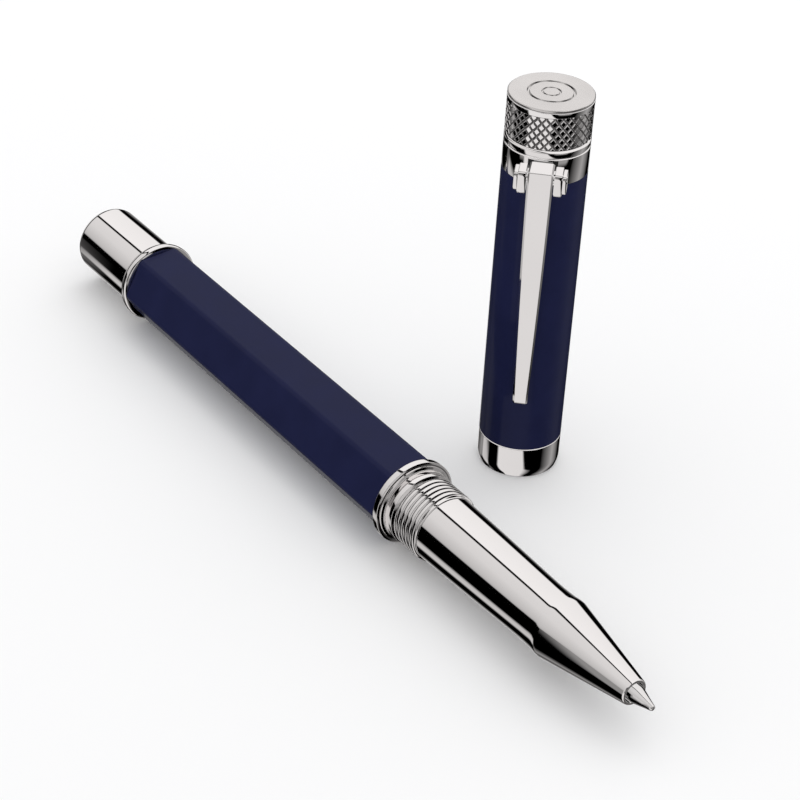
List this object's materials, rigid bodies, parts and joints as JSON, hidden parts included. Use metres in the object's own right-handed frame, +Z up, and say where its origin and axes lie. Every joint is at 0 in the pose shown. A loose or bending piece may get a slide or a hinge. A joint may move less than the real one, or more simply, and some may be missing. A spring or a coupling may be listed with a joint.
{
  "type": "rollerball pen",
  "caption": "Screw-cap rollerball pen: six-sided lacquered barrel, plated rings and waisted metal grip, with its round cap and sprung clip standing beside it.",
  "frame": {"origin": "on the floor, under the middle of the pen and cap taken together", "axes": "+X along the pen towards its writing tip, +Y across from the pen to the cap, +Z up, along the cap's axis"},
  "size_m": [0.13, 0.0362, 0.0563],
  "materials": {
    "chrome": "polished chrome plate",
    "lacquer": "deep navy gloss lacquer over brass",
    "brass": "machined",
    "steel": "fine turned",
    "liner": "moulded black",
    "rubber": "matte",
    "refill": "drawn tube",
    "neck": "moulded white",
    "ink": "ink-soaked fibre"
  },
  "bodies": {
    "barrel": {"barrel_tube": "lacquer", "front_trim_ring": "chrome", "rear_trim_ring": "chrome", "tail_cap": "chrome", "tail_bush": "brass", "barrel_thread_bush": "brass", "spring_seat": "liner", "refill_spring": "steel"},
    "refill": {"refill_tube": "refill", "refill_end_plug": "neck", "ink_reservoir": "ink", "refill_neck": "neck", "refill_tip": "steel"},
    "section": {"grip_section": "chrome", "cap_thread_sleeve": "chrome", "section_stud": "brass", "section_seal_ring": "rubber"},
    "ball": {"writing_ball": "steel"},
    "cap": {"cap_lip_ring": "chrome", "cap_tube": "lacquer", "cap_thread_liner": "liner", "inner_seal_cup": "liner", "clip_band": "chrome", "knurled_crown": "chrome", "crown_disc": "chrome", "crown_screw": "steel", "clip_bracket": "chrome", "clip_hinge_pin": "steel", "clip_leaf_spring": "steel"},
    "clip": {"clip_arm": "chrome"}
  },
  "joints": [
    {"name": "refill_advance", "type": "slide", "parent": "barrel", "child": "refill", "axis": [1, 0, 0], "range_m": [0, 0.0056], "deforming": ["refill_spring"]},
    {"name": "section_turn", "type": "hinge", "parent": "refill", "child": "section", "pos_m": [0.0202, -0.012, 0.0061], "axis": [1, 0, 0], "range_deg": [0, 2688]},
    {"name": "ball_roll", "type": "hinge", "parent": "refill", "child": "ball", "pos_m": [0.06465, -0.012, 0.0061], "axis": [0, 1, 0], "continuous": true},
    {"name": "cap_lift", "type": "slide", "parent": "barrel", "child": "cap", "axis": [0, 0, 1], "range_m": [0, 0.06]},
    {"name": "clip_pivot", "type": "hinge", "parent": "cap", "child": "clip", "pos_m": [0.01251, 0.00755, 0.0474], "axis": [-0.6884, -0.7254, 0], "range_deg": [0, 8], "stiffness_Nm_per_rad": 0.5, "springref_deg": -1.15}
  ],
  "couplings": [
    {"joint": "refill_advance", "follows": "section_turn", "m_per_rad": 0.00011937}
  ]
}
